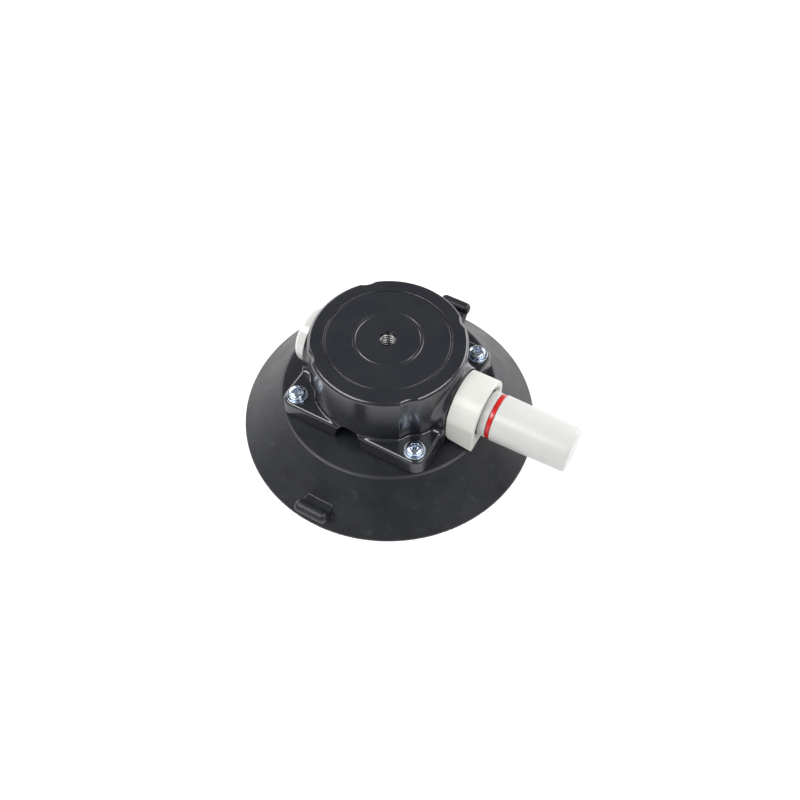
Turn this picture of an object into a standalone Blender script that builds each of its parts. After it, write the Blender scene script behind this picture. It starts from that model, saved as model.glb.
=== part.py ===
"""Hand-pumped vacuum suction cup with a tapped mounting head.

A rubber cup with two release tabs carries a die-cast housing.  A barrel pump lies across
the housing, under its top: the white plunger is pushed in by hand, and a return spring
brings it out again.  A red band on the plunger shows when the vacuum has been lost.

Frame: metres, +Z up, the cup's rim rests on Z = 0 and the cup's axis is the Z axis.
The pump lies along X and its plunger comes out towards +X.
"""
from math import acos, asin, cos, pi, sin, sqrt

import bmesh
import bpy
from mathutils import Matrix

MM = 0.001
GAP = 0.3 * MM            # clearance kept between pieces that touch

# Rubber cup
CUP_R = 57.15 * MM        # outer radius of the sealing lip
LIP_EDGE = 1.0 * MM       # height of the lip's outer edge
LIP_INNER_R = 54.8 * MM   # inner radius of the flat that seals
HUB_R = 41.5 * MM         # radius of the flat hub on top
HUB_Z = 18.1 * MM         # top of the hub
HUB_ROUND = 0.7 * MM
HUB_STEP = 0.25 * MM      # ledge where the skirt starts below the hub's edge
SKIRT_SAG = 0.35 * MM     # how far the middle of the skirt hangs below a straight line
LIP_ROUND = 0.2 * MM
CEILING_R = 37.0 * MM     # flat ceiling of the hollow under the cup
CEILING_Z = 12.2 * MM
HOLLOW = ((50.0 * MM, 4.6 * MM), (45.0 * MM, 8.6 * MM), (40.5 * MM, 11.5 * MM))   # radius, height

# Release tabs, one on each side of the pump
TAB_W = 13.0 * MM
TAB_ROUND = 1.0 * MM
TAB_ROOT_Y = 49.0 * MM
TAB_ROOT_Z = 6.0 * MM     # lower inner end of a tab, within the skirt
TAB_FOOT = (53.0 * MM, 4.3 * MM)   # lower outer end of a tab, within the skirt
TAB_BEAD_Y = 56.3 * MM
TAB_BEAD_Z = 8.5 * MM
TAB_BEAD_R = 2.5 * MM
TAB_TOP = 8.1 * MM

# Steel plate moulded into the hub
PLATE_R = 38.5 * MM
PLATE_Z = (14.2 * MM, 16.2 * MM)

# Screws, on a square
SCREW_XY = 24.7 * MM      # half the screw spacing
SCREW_R = 1.75 * MM
SCREW_HEAD_R = 3.1 * MM
SCREW_HEAD_H = 2.0 * MM
SCREW_END_Z = 14.5 * MM
SCREW_POINT = 0.4 * MM    # chamfer at the end
WASHER_R = 4.0 * MM
WASHER_T = 0.7 * MM
HOLE_R = SCREW_R + GAP
CROSS_REACH = 1.75 * MM   # Phillips recess: half its width, half a slot's width and its depth
CROSS_SLOT = 0.45 * MM
CROSS_DEPTH = 1.3 * MM
CROSS_TAPER = 0.45        # size at the bottom over size at the top

# Housing
HOUSING_Z = HUB_Z + GAP   # underside
EAR_Z = 24.1 * MM         # top of the four ears
EAR_HALF = 29.9 * MM      # half the width of the square base
EAR_CORNER_R = 4.5 * MM
TOP_Z = 45.7 * MM
TOP_R = 28.9 * MM
BASE_R = 29.2 * MM
TOP_EDGE = 0.6 * MM
CAVITY_R = 25.8 * MM
CAVITY_TOP_Z = 41.0 * MM
CENTRE_BOSS_R = 6.0 * MM
CENTRE_BOSS_Z = 39.3 * MM
TAP_R = 2.55 * MM         # minor radius of the 1/4-20 thread
TAP_MOUTH_R = 3.35 * MM
TAP_MOUTH_DEPTH = 0.8 * MM
GROOVES = ((22.7 * MM, 0.6 * MM), (12.2 * MM, 1.0 * MM))   # radius and width
GROOVE_DEPTH = 0.4 * MM
FLUTE_R = 6.8 * MM        # driver clearance above each screw
VENT_HALF = 5.2 * MM      # half the width of the vent arch
VENT_TOP_Z = 25.5 * MM

# Pump
AXIS_Z = 28.4 * MM
BORE_R = 9.05 * MM
BARREL_R = 10.3 * MM
BARREL_X = (-30.0 * MM, 37.6 * MM)
BARREL_FLAT_Z = 18.5 * MM
BOSS_R = 13.0 * MM        # the housing's end bosses
BOSS_X = 30.0 * MM
PORT_X = -22.0 * MM
PORT_R = 2.1 * MM
SPIGOT_R = 4.2 * MM
SPIGOT_BORE_R = 3.4 * MM
SPIGOT_Z = 12.9 * MM
SEAT_Z = 16.4 * MM        # bottom of the valve's seat

# End cap of the barrel
CAP_X = (-35.0 * MM, BARREL_X[0] - GAP)
CAP_R = 10.6 * MM
CAP_ROUND = 1.3 * MM
CAP_SPIGOT_R = BORE_R - GAP
CAP_SPIGOT_X = -26.8 * MM
O_RING_X = -28.3 * MM
O_RING_WIRE = 0.55 * MM
O_RING_ROOM = 0.25 * MM     # groove on each side of the ring

# Collar in front
COLLAR_X = (BOSS_X + GAP, 41.0 * MM)
COLLAR_R = 12.2 * MM
COLLAR_BOTTOM_Z = HOUSING_Z
COLLAR_LIP_X = 39.4 * MM
COLLAR_MOUTH_R = 9.7 * MM
COLLAR_MOUTH_DEPTH = 0.9 * MM
COLLAR_ROUND = 0.5 * MM

# Return spring, between the end cap's spigot and the piston
STROKE = 25.0 * MM
SPRING_R = 6.2 * MM
SPRING_WIRE_R = 0.45 * MM
SPRING_TURNS = 8
SPRING_POINTS = 10        # points in each turn
SPRING_SPARE = 1.3 * MM   # left between the coils when the plunger is fully in
SPRING_SOLID = 2 * SPRING_WIRE_R * SPRING_TURNS
SPRING_FOOT_X = CAP_SPIGOT_X + GAP
SPRING_X = (SPRING_FOOT_X, SPRING_FOOT_X + SPRING_SOLID + SPRING_SPARE + STROKE)

# Piston, with its seal and its wear ring
PISTON_LENGTH = 5.6 * MM
PISTON_X = (SPRING_X[1] + GAP, SPRING_X[1] + GAP + PISTON_LENGTH)
PISTON_R = 8.6 * MM
PISTON_FLOOR_R = 7.4 * MM
SEAL_GROOVE_X = (PISTON_X[0] + 0.8 * MM, PISTON_X[0] + 3.0 * MM)
WEAR_GROOVE_X = (PISTON_X[0] + 3.7 * MM, PISTON_X[0] + 5.0 * MM)
PISTON_SEAL_R = 8.8 * MM
WEAR_RING_R = 8.75 * MM
STOP_RING_X = (PISTON_X[1] + 2 * GAP, PISTON_X[1] + 2 * GAP + 1.4 * MM)
STOP_RING_R = 7.3 * MM

# Plunger
GRIP_X = (45.65 * MM, 72.7 * MM)
GRIP_R = (8.75 * MM, 8.4 * MM)
ROD_R = 7.0 * MM
ROD_BORE_R = 5.2 * MM
ROD_X = (PISTON_X[1] + GAP, GRIP_X[1])
NECK_R = 8.55 * MM
NECK_X = (40.5 * MM, 43.4 * MM)
NECK_EDGE = 0.6 * MM
BAND_X = (NECK_X[1] + GAP, 45.35 * MM)
BAND_R = 8.5 * MM
SLEEVE_BORE_R = ROD_R + GAP   # bore of the band and of the grip
BUTTON_X = (GRIP_X[1] + GAP, 74.0 * MM)
BUTTON_R = 7.9 * MM
BUTTON_EDGE = 0.7 * MM
PLUG_R = ROD_BORE_R - GAP     # the button and the piston each plug one end of the rod
PLUG_LENGTH = 5.0 * MM

# Valve, its retainer and the filter, all inside the port's spigot
VALVE_FLANGE_Z = (15.3 * MM, SEAT_Z - GAP)
VALVE_R = 1.6 * MM              # the valve's neck, and its tip, which stands up into the barrel
VALVE_TIP_R = 0.7 * MM
VALVE_SLOT_R = (0.8 * MM, 0.5 * MM)
VALVE_SLOT_Z = (BARREL_FLAT_Z - 1.2 * MM, BARREL_FLAT_Z - 0.9 * MM)
VALVE_TIP_Z = (BARREL_FLAT_Z - 0.4 * MM, BARREL_FLAT_Z + 0.2 * MM)
VALVE_NECK_Z = SEAT_Z + 0.9 * MM
RETAINER_Z = (14.2 * MM, 15.0 * MM)
RETAINER_R = 1.2 * MM
FILTER_Z = (13.1 * MM, 13.9 * MM)

ROUND = 48                # facets of the cup and the housing
PUMP_ROUND = 32
SMALL_ROUND = 20
HOLE_ROUND = 16           # facets of the screw holes and the small ports
ARCH_ROUND = 24
WIDE_ROUND = 36           # facets of the flutes
FACET_TURN = 0.05         # keeps the facets of a hole off its neighbours' facets

COLOURS = {
    "rubber": ((0.018, 0.019, 0.022), 0.62, 0.0),
    "enamel": ((0.012, 0.012, 0.013), 0.28, 0.0),
    "zinc": ((0.62, 0.66, 0.72), 0.22, 1.0),
    "steel": ((0.45, 0.46, 0.48), 0.35, 1.0),
    "white": ((0.80, 0.80, 0.77), 0.38, 0.0),
    "red": ((0.75, 0.02, 0.015), 0.4, 0.0),
    "seal": ((0.03, 0.03, 0.032), 0.55, 0.0),
    "felt": ((0.55, 0.54, 0.5), 0.9, 0.0),
}


def clear_scene():
    for obj in list(bpy.data.objects):
        bpy.data.objects.remove(obj, do_unlink=True)


def new_collection(name):
    old = bpy.data.collections.get(name)
    if old:
        bpy.data.collections.remove(old)
    collection = bpy.data.collections.new(name)
    bpy.context.scene.collection.children.link(collection)
    return collection


clear_scene()
PARTS = new_collection("vacuum_suction_cup")
CUTTERS = new_collection("cutters")


def material(name, finish):
    mat = bpy.data.materials.new(name)
    mat.use_nodes = True
    shader = mat.node_tree.nodes["Principled BSDF"]
    colour, roughness, metallic = COLOURS[finish]
    shader.inputs["Base Color"].default_value = (*colour, 1.0)
    shader.inputs["Roughness"].default_value = roughness
    shader.inputs["Metallic"].default_value = metallic
    return mat


def add_object(name, mesh, finish=None):
    """Link a mesh as a part with its own material, or as a cutter if it has no finish."""
    obj = bpy.data.objects.new(name, mesh)
    if finish:
        PARTS.objects.link(obj)
        mesh.materials.append(material(name, finish))
        mesh.shade_smooth()
        mesh.set_sharp_from_angle(angle=pi / 6)
    else:
        CUTTERS.objects.link(obj)
        obj.hide_render = True
        obj.display_type = "WIRE"
    return obj


def place(obj, along, at=(0.0, 0.0, 0.0)):
    """Stand an object on Z, or lay its Z axis along X or Y."""
    turns = {"Z": (0, 0, 0), "X": (0, pi / 2, 0), "Y": (-pi / 2, 0, 0)}
    obj.location = at
    obj.rotation_euler = turns[along]
    return obj


def turned(name, profile, finish=None, steps=ROUND, along="Z", at=(0.0, 0.0, 0.0), ring=False):
    """Turn a profile of (radius, height) points; it runs down the outer side.

    A ring's profile is a closed loop; any other starts and ends on the axis.
    """
    mesh = bpy.data.meshes.new(name)
    points = [(r, 0.0, z) for r, z in profile]
    edges = [(i, i + 1) for i in range(len(points) - 1)]
    if ring:
        edges.append((len(points) - 1, 0))
    mesh.from_pydata(points, edges, [])
    obj = add_object(name, mesh, finish)
    screw = obj.modifiers.new("turn", "SCREW")
    screw.angle = 2 * pi
    screw.steps = steps
    screw.render_steps = steps
    screw.use_merge_vertices = True
    screw.merge_threshold = 0.00001
    screw.use_smooth_shade = False
    return place(obj, along, at)


def cylinder(name, radius, low, high, finish=None, steps=SMALL_ROUND, along="Z", at=(0.0, 0.0, 0.0)):
    """Cylinder with flat n-sided ends, from its low to its high place along its axis."""
    shape = bmesh.new()
    lift = Matrix.Translation((0.0, 0.0, (low + high) / 2)) @ Matrix.Rotation(FACET_TURN, 4, "Z")
    bmesh.ops.create_cone(
        shape, cap_ends=True, cap_tris=False, segments=steps,
        radius1=radius, radius2=radius, depth=high - low, matrix=lift,
    )
    mesh = bpy.data.meshes.new(name)
    shape.to_mesh(mesh)
    shape.free()
    return place(add_object(name, mesh, finish), along, at)


def ring_profile(inner, outer, low, high):
    return [(outer, high), (outer, low), (inner, low), (inner, high)]


def arch_outline(radius, centre, bottom, facets):
    """Outline of a round-topped arch in the XY plane, its feet at the given bottom."""
    angles = [pi * i / facets for i in range(facets + 1)]
    arc = [(radius * cos(a), centre + radius * sin(a)) for a in angles]
    return [(radius, bottom), *arc, (-radius, bottom)]


def rounded_square(half, corner, facets=6):
    points = []
    for quarter in range(4):
        for i in range(facets + 1):
            angle = pi / 2 * (quarter + i / facets)
            cx = (half - corner) * (1 if quarter in (0, 3) else -1)
            cy = (half - corner) * (1 if quarter in (0, 1) else -1)
            points.append((cx + corner * cos(angle), cy + corner * sin(angle)))
    return points


def extruded(name, outline, length, matrix, finish=None):
    """Extrude a flat outline as a 2D curve, then turn it into a welded mesh."""
    curve = bpy.data.curves.new(name, "CURVE")
    curve.dimensions = "2D"
    curve.fill_mode = "BOTH"
    curve.extrude = length / 2
    spline = curve.splines.new("POLY")
    spline.points.add(len(outline) - 1)
    for point, (x, y) in zip(spline.points, outline):
        point.co = (x, y, 0.0, 1.0)
    spline.use_cyclic_u = True
    source = bpy.data.objects.new(name + "_curve", curve)
    bpy.context.scene.collection.objects.link(source)
    source.matrix_world = matrix
    bpy.context.view_layer.update()
    evaluated = source.evaluated_get(bpy.context.evaluated_depsgraph_get())
    mesh = bpy.data.meshes.new_from_object(evaluated)
    bpy.data.objects.remove(source, do_unlink=True)
    weld(mesh)
    obj = add_object(name, mesh, finish)
    obj.matrix_world = matrix
    return obj


def weld(mesh):
    shape = bmesh.new()
    shape.from_mesh(mesh)
    bmesh.ops.remove_doubles(shape, verts=shape.verts, dist=0.000001)
    bmesh.ops.recalc_face_normals(shape, faces=shape.faces)
    shape.to_mesh(mesh)
    shape.free()


def across(axis, at=(0.0, 0.0, 0.0)):
    """Matrix that stands an outline's Y up along +Z and extrudes it along X or Y."""
    if axis == "X":
        turn = Matrix(((0, 0, 1), (1, 0, 0), (0, 1, 0)))
    else:
        turn = Matrix(((-1, 0, 0), (0, 0, 1), (0, 1, 0)))
    return Matrix.Translation(at) @ turn.to_4x4()


def boolean(obj, other, operation="DIFFERENCE"):
    mod = obj.modifiers.new(operation.lower(), "BOOLEAN")
    mod.operation = operation
    mod.solver = "EXACT"
    mod.object = other


def corners():
    """The four screw positions, with a number for each."""
    signs = ((1, -1), (1, 1), (-1, 1), (-1, -1))
    return [(i + 1, sx * SCREW_XY, sy * SCREW_XY) for i, (sx, sy) in enumerate(signs)]


def screw_hole(name, low, high, at):
    return cylinder(name, HOLE_R, low, high, steps=HOLE_ROUND, at=at)


def make_cup():
    half_skirt = ((HUB_R + CUP_R) / 2, (HUB_Z + LIP_EDGE) / 2 - SKIRT_SAG)
    profile = [
        (0.0, HUB_Z),
        (HUB_R - HUB_ROUND, HUB_Z),
        (HUB_R - LIP_ROUND, HUB_Z - LIP_ROUND),
        (HUB_R + HUB_STEP, HUB_Z - HUB_ROUND),
        half_skirt,
        (CUP_R - LIP_ROUND, LIP_EDGE + LIP_ROUND),
        (CUP_R, LIP_EDGE),
        (CUP_R, 0.0),
        (LIP_INNER_R, 0.0),
        *HOLLOW,
        (CEILING_R, CEILING_Z),
        (0.0, CEILING_Z),
    ]
    cup = turned("rubber_cup", profile, "rubber")
    for side, label in ((-1, "front"), (1, "back")):
        boolean(cup, make_tab(f"release_tab_{label}", side), "UNION")
    pocket = cylinder("plate_pocket", PLATE_R + GAP, PLATE_Z[0] - GAP, PLATE_Z[1] + GAP, steps=ROUND)
    boolean(cup, pocket)
    port = cylinder("cup_port", SPIGOT_R + GAP, CEILING_Z - MM, HUB_Z + MM, at=(PORT_X, 0, 0))
    boolean(cup, port)
    for number, x, y in corners():
        boolean(cup, screw_hole(f"cup_screw_hole_{number}", PLATE_Z[1], HUB_Z + MM, (x, y, 0)))


def make_tab(name, side, facets=12):
    """Finger tab: a web that ends in a thick bead along X and slopes back under it at 45 degrees."""
    top = pi - asin((TAB_TOP - TAB_BEAD_Z) / TAB_BEAD_R)
    beyond = (TAB_FOOT[0] - TAB_FOOT[1]) - (TAB_BEAD_Y - TAB_BEAD_Z)
    bottom = -pi / 4 - acos(beyond / sqrt(2) / TAB_BEAD_R)
    angles = [top + (bottom - top) * i / facets for i in range(facets + 1)]
    bead = [(TAB_BEAD_Y + TAB_BEAD_R * cos(a), TAB_BEAD_Z + TAB_BEAD_R * sin(a)) for a in angles]
    outline = [TAB_FOOT, (TAB_ROOT_Y, TAB_ROOT_Z), (TAB_ROOT_Y, TAB_TOP), *bead]
    tab = extruded(name, [(side * y, z) for y, z in outline], TAB_W, across("X"))
    soften(tab, TAB_ROUND)
    return tab


def soften(obj, width, segments=2):
    bevel = obj.modifiers.new("soft edges", "BEVEL")
    bevel.width = width
    bevel.segments = segments
    bevel.limit_method = "ANGLE"
    bevel.angle_limit = pi / 3


def make_plate():
    low, high = PLATE_Z
    plate = cylinder("pad_plate", PLATE_R, low, high, "steel", steps=ROUND)
    boolean(plate, cylinder("plate_port", SPIGOT_R + GAP, low - MM, high + MM, at=(PORT_X, 0, 0)))
    for number, x, y in corners():
        boolean(plate, screw_hole(f"plate_screw_hole_{number}", low - MM, high + MM, (x, y, 0)))


def make_housing():
    wall = [
        (TOP_R - TOP_EDGE, TOP_Z),
        (TOP_R, TOP_Z - TOP_EDGE),
        (BASE_R, HOUSING_Z),
        (TAP_R / 2, HOUSING_Z),
        (TAP_R / 2, TOP_Z),
    ]
    housing = turned("housing", wall, "enamel", ring=True)
    base_height = EAR_Z - HOUSING_Z
    lift = Matrix.Translation((0, 0, HOUSING_Z + base_height / 2))
    base = extruded("housing_base", rounded_square(EAR_HALF, EAR_CORNER_R), base_height, lift)
    boolean(housing, base, "UNION")
    boss = arch_outline(BOSS_R, AXIS_Z, HOUSING_Z, ARCH_ROUND)
    boolean(housing, extruded("end_bosses", boss, 2 * BOSS_X, across("X")), "UNION")

    boolean(housing, turned("housing_cavity", [
        (0.0, CENTRE_BOSS_Z),
        (CENTRE_BOSS_R, CENTRE_BOSS_Z),
        (CENTRE_BOSS_R, CAVITY_TOP_Z),
        (CAVITY_R, CAVITY_TOP_Z),
        (CAVITY_R, HOUSING_Z - MM),
        (0.0, HOUSING_Z - MM),
    ]))
    tunnel = arch_outline(BARREL_R + GAP, AXIS_Z, HOUSING_Z - MM, ARCH_ROUND)
    boolean(housing, extruded("pump_tunnel", tunnel, 2 * BOSS_X + 2 * MM, across("X")))
    vent = arch_outline(VENT_HALF, VENT_TOP_Z - VENT_HALF, HOUSING_Z - MM, ARCH_ROUND // 2)
    boolean(housing, extruded("vents", vent, 2 * EAR_HALF + 2 * MM, across("Y")))

    boolean(housing, turned("tapped_hole", [
        (0.0, TOP_Z + MM),
        (TAP_MOUTH_R, TOP_Z + MM),
        (TAP_MOUTH_R, TOP_Z),
        (TAP_R, TOP_Z - TAP_MOUTH_DEPTH),
        (TAP_R, CENTRE_BOSS_Z - MM),
        (0.0, CENTRE_BOSS_Z - MM),
    ], steps=SMALL_ROUND))
    for number, (radius, width) in enumerate(GROOVES, 1):
        groove = ring_profile(radius - width / 2, radius + width / 2, TOP_Z - GROOVE_DEPTH, TOP_Z + MM)
        boolean(housing, turned(f"top_groove_{number}", groove, ring=True))
    for number, x, y in corners():
        name = f"driver_flute_{number}"
        flute = cylinder(name, FLUTE_R, EAR_Z, TOP_Z + MM, steps=WIDE_ROUND, at=(x, y, 0))
        boolean(housing, flute)
        boolean(housing, screw_hole(f"ear_hole_{number}", HOUSING_Z - MM, EAR_Z + MM, (x, y, 0)))


def make_screws():
    """Pan-head Phillips screws, each on a washer."""
    washer_low = EAR_Z + GAP
    seat = washer_low + WASHER_T + GAP
    washer = ring_profile(HOLE_R, WASHER_R, washer_low, washer_low + WASHER_T)
    dome = [(0.0, 1.0), (0.45, 0.96), (0.78, 0.80), (0.95, 0.50), (1.0, 0.20), (1.0, 0.0)]
    profile = [(r * SCREW_HEAD_R, seat + h * SCREW_HEAD_H) for r, h in dome]
    profile += [
        (SCREW_R, seat),
        (SCREW_R, SCREW_END_Z + SCREW_POINT),
        (SCREW_R - SCREW_POINT, SCREW_END_Z),
        (0.0, SCREW_END_Z),
    ]
    for number, x, y in corners():
        turned(f"washer_{number}", washer, "zinc", steps=SMALL_ROUND, at=(x, y, 0), ring=True)
        screw = turned(f"screw_{number}", profile, "zinc", steps=SMALL_ROUND, at=(x, y, 0))
        boolean(screw, cross_cutter(f"cross_recess_{number}", (x, y, seat + SCREW_HEAD_H)))


def cross_cutter(name, at):
    """Tapered cross that cuts a screw's Phillips recess."""
    outline = []
    for quarter in range(4):
        c, s = cos(pi / 2 * quarter), sin(pi / 2 * quarter)
        corner_points = ((CROSS_SLOT, -CROSS_SLOT), (CROSS_REACH, -CROSS_SLOT), (CROSS_REACH, CROSS_SLOT))
        outline += [(u * c - v * s, u * s + v * c) for u, v in corner_points]
    shape = bmesh.new()
    ends = ((1.0, GAP), (CROSS_TAPER, -CROSS_DEPTH))
    top, bottom = [[shape.verts.new((u * k, v * k, z)) for u, v in outline] for k, z in ends]
    for i in range(len(outline)):
        j = (i + 1) % len(outline)
        shape.faces.new((top[i], bottom[i], bottom[j], top[j]))
    shape.faces.new(top)
    shape.faces.new(bottom)
    bmesh.ops.recalc_face_normals(shape, faces=shape.faces)
    mesh = bpy.data.meshes.new(name)
    shape.to_mesh(mesh)
    shape.free()
    return place(add_object(name, mesh), "Z", at)


def on_pump(name, profile, finish=None, steps=PUMP_ROUND, ring=True):
    """Turn a profile about the pump's axis; its heights are places along X."""
    return turned(name, profile, finish, steps, "X", (0.0, 0.0, AXIS_Z), ring)


def flat_cutter(name, radius, low_x, high_x):
    """Slab that cuts a flat along the pump's underside, so that it clears the hub."""
    height = BARREL_FLAT_Z - (AXIS_Z - radius - MM)
    slab = [(-radius, -height), (radius, -height), (radius, 0.0), (-radius, 0.0)]
    middle = ((low_x + high_x) / 2, 0.0, BARREL_FLAT_Z)
    return extruded(name, slab, high_x - low_x + 2 * MM, across("X", middle))


def make_barrel():
    barrel = on_pump("pump_barrel", ring_profile(BORE_R, BARREL_R, *BARREL_X), "white")
    boolean(barrel, flat_cutter("barrel_flat", BARREL_R, *BARREL_X))
    spigot_top = BARREL_FLAT_Z + GAP
    spigot = [
        (0.0, spigot_top),
        (SPIGOT_R, spigot_top),
        (SPIGOT_R, SPIGOT_Z),
        (SPIGOT_BORE_R, SPIGOT_Z),
        (SPIGOT_BORE_R, SEAT_Z),
        (0.0, SEAT_Z),
    ]
    boolean(barrel, turned("port_spigot", spigot, steps=SMALL_ROUND, at=(PORT_X, 0, 0)), "UNION")
    port = cylinder("barrel_port", PORT_R, SEAT_Z - MM, AXIS_Z, steps=HOLE_ROUND, at=(PORT_X, 0, 0))
    boolean(barrel, port)


def make_end_cap(facets=4):
    half_groove = O_RING_WIRE + O_RING_ROOM
    groove = (O_RING_X - half_groove, O_RING_X + half_groove)
    floor = CAP_SPIGOT_R - 2 * O_RING_WIRE - GAP
    profile = [
        (0.0, CAP_SPIGOT_X),
        (CAP_SPIGOT_R, CAP_SPIGOT_X),
        (CAP_SPIGOT_R, groove[1]),
        (floor, groove[1]),
        (floor, groove[0]),
        (CAP_SPIGOT_R, groove[0]),
        (CAP_SPIGOT_R, CAP_X[1]),
        (CAP_R, CAP_X[1]),
    ]
    for i in range(facets + 1):
        angle = pi / 2 * i / facets
        profile.append((CAP_R - CAP_ROUND * (1 - cos(angle)), CAP_X[0] + CAP_ROUND * (1 - sin(angle))))
    profile.append((0.0, CAP_X[0]))
    cap = on_pump("barrel_end_cap", profile, "white", ring=False)
    boolean(cap, flat_cutter("cap_flat", CAP_R, *CAP_X))
    o_ring("cap_o_ring", O_RING_X, CAP_SPIGOT_R - O_RING_WIRE, O_RING_WIRE)


def o_ring(name, x, radius, wire, facets=8):
    angles = [2 * pi * i / facets for i in range(facets)]
    section = [(radius + wire * cos(a), x - wire * sin(a)) for a in angles]
    on_pump(name, section, "seal")


def make_collar():
    outline = arch_outline(COLLAR_R, AXIS_Z, COLLAR_BOTTOM_Z, ARCH_ROUND)
    length = COLLAR_X[1] - COLLAR_X[0]
    middle = ((COLLAR_X[0] + COLLAR_X[1]) / 2, 0, 0)
    collar = extruded("pump_collar", outline, length, across("X", middle), "white")
    soften(collar, COLLAR_ROUND)
    boolean(collar, on_pump("collar_bore", [
        (0.0, COLLAR_X[1] + MM),
        (COLLAR_MOUTH_R, COLLAR_X[1] + MM),
        (COLLAR_MOUTH_R, COLLAR_X[1] - COLLAR_MOUTH_DEPTH),
        (BORE_R, COLLAR_X[1] - COLLAR_MOUTH_DEPTH),
        (BORE_R, COLLAR_LIP_X),
        (BARREL_R + GAP, COLLAR_LIP_X),
        (BARREL_R + GAP, COLLAR_X[0] - MM),
        (0.0, COLLAR_X[0] - MM),
    ], ring=False))
    wiper = ring_profile(BORE_R, BARREL_R, BARREL_X[1] + GAP, COLLAR_LIP_X - GAP)
    on_pump("wiper_ring", wiper, "seal")


def make_plunger():
    on_pump("plunger_rod", [
        (ROD_R, ROD_X[1]),
        (ROD_R, NECK_X[1]),
        (NECK_R, NECK_X[1]),
        (NECK_R, NECK_X[0] + NECK_EDGE),
        (NECK_R - NECK_EDGE, NECK_X[0]),
        (ROD_R, NECK_X[0]),
        (ROD_R, ROD_X[0]),
        (ROD_BORE_R, ROD_X[0]),
        (ROD_BORE_R, ROD_X[1]),
    ], "white")
    on_pump("vacuum_loss_band", ring_profile(SLEEVE_BORE_R, BAND_R, *BAND_X), "red")
    on_pump("plunger_grip", [
        (GRIP_R[1] - GAP, GRIP_X[1]),
        (GRIP_R[1], GRIP_X[1] - GAP),
        (GRIP_R[0], GRIP_X[0] + GAP),
        (GRIP_R[0] - GAP, GRIP_X[0]),
        (SLEEVE_BORE_R, GRIP_X[0]),
        (SLEEVE_BORE_R, GRIP_X[1]),
    ], "white")
    on_pump("plunger_button", [
        (0.0, BUTTON_X[1]),
        (BUTTON_R - BUTTON_EDGE, BUTTON_X[1]),
        (BUTTON_R, BUTTON_X[1] - BUTTON_EDGE),
        (BUTTON_R, BUTTON_X[0]),
        (PLUG_R, BUTTON_X[0]),
        (PLUG_R, BUTTON_X[0] - PLUG_LENGTH),
        (0.0, BUTTON_X[0] - PLUG_LENGTH),
    ], "white", ring=False)


def make_piston():
    grooves = []
    for low, high in (WEAR_GROOVE_X, SEAL_GROOVE_X):
        grooves += [(PISTON_R, high), (PISTON_FLOOR_R, high), (PISTON_FLOOR_R, low), (PISTON_R, low)]
    on_pump("piston_head", [
        (0.0, PISTON_X[1] + PLUG_LENGTH),
        (PLUG_R, PISTON_X[1] + PLUG_LENGTH),
        (PLUG_R, PISTON_X[1]),
        (PISTON_R, PISTON_X[1]),
        *grooves,
        (PISTON_R, PISTON_X[0]),
        (0.0, PISTON_X[0]),
    ], "white", ring=False)
    inner = PISTON_FLOOR_R + GAP
    low, high = SEAL_GROOVE_X[0] + GAP, SEAL_GROOVE_X[1] - GAP
    on_pump("piston_seal", [
        (PISTON_SEAL_R - GAP, high),
        (PISTON_SEAL_R, low),
        (PISTON_SEAL_R - GAP, low),
        ((PISTON_SEAL_R + inner) / 2, (low + high) / 2),
        (inner + GAP, low),
        (inner, low),
        (inner, high),
    ], "seal")
    wear = ring_profile(inner, WEAR_RING_R, WEAR_GROOVE_X[0] + GAP, WEAR_GROOVE_X[1] - GAP)
    on_pump("wear_ring", wear, "felt")
    on_pump("stop_ring", ring_profile(STOP_RING_R, BORE_R - GAP, *STOP_RING_X), "steel")


def make_spring():
    """Compression spring whose end turns lie closer together than the others."""
    curve = bpy.data.curves.new("return_spring", "CURVE")
    curve.dimensions = "3D"
    curve.bevel_depth = SPRING_WIRE_R
    curve.bevel_resolution = 2
    curve.use_fill_caps = True
    count = SPRING_TURNS * SPRING_POINTS
    spline = curve.splines.new("POLY")
    spline.points.add(count)
    low, high = SPRING_X[0] + SPRING_WIRE_R, SPRING_X[1] - SPRING_WIRE_R
    end_turn = 1 / SPRING_TURNS
    end_rise = 2.6 * SPRING_WIRE_R / (high - low)
    for i, point in enumerate(spline.points):
        t = i / count
        if t < end_turn:
            rise = end_rise * t / end_turn
        elif t > 1 - end_turn:
            rise = 1 - end_rise * (1 - t) / end_turn
        else:
            rise = end_rise + (1 - 2 * end_rise) * (t - end_turn) / (1 - 2 * end_turn)
        angle = 2 * pi * i / SPRING_POINTS
        point.co = (low + (high - low) * rise, SPRING_R * cos(angle), AXIS_Z + SPRING_R * sin(angle), 1.0)
    spring = bpy.data.objects.new("return_spring", curve)
    PARTS.objects.link(spring)
    curve.materials.append(material("return_spring", "steel"))


def make_valve():
    at = (PORT_X, 0.0, 0.0)
    low, high = VALVE_FLANGE_Z
    turned("check_valve", [
        (0.0, VALVE_TIP_Z[1]),
        (VALVE_TIP_R, VALVE_TIP_Z[0]),
        (VALVE_R, VALVE_NECK_Z),
        (VALVE_R, high),
        (SPIGOT_BORE_R - GAP, high),
        (SPIGOT_BORE_R - GAP, low),
        (VALVE_SLOT_R[0], low),
        (VALVE_SLOT_R[1], VALVE_SLOT_Z[0]),
        (0.0, VALVE_SLOT_Z[1]),
    ], "seal", steps=SMALL_ROUND, at=at)
    retainer = ring_profile(RETAINER_R, SPIGOT_BORE_R - GAP, *RETAINER_Z)
    turned("valve_retainer", retainer, "white", steps=SMALL_ROUND, at=at, ring=True)
    cylinder("port_filter", SPIGOT_BORE_R - GAP, *FILTER_Z, "felt", at=at)


make_cup()
make_plate()
make_housing()
make_screws()
make_barrel()
make_end_cap()
make_collar()
make_plunger()
make_piston()
make_spring()
make_valve()
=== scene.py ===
from math import cos, hypot, pi, radians, sin, tan

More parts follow.
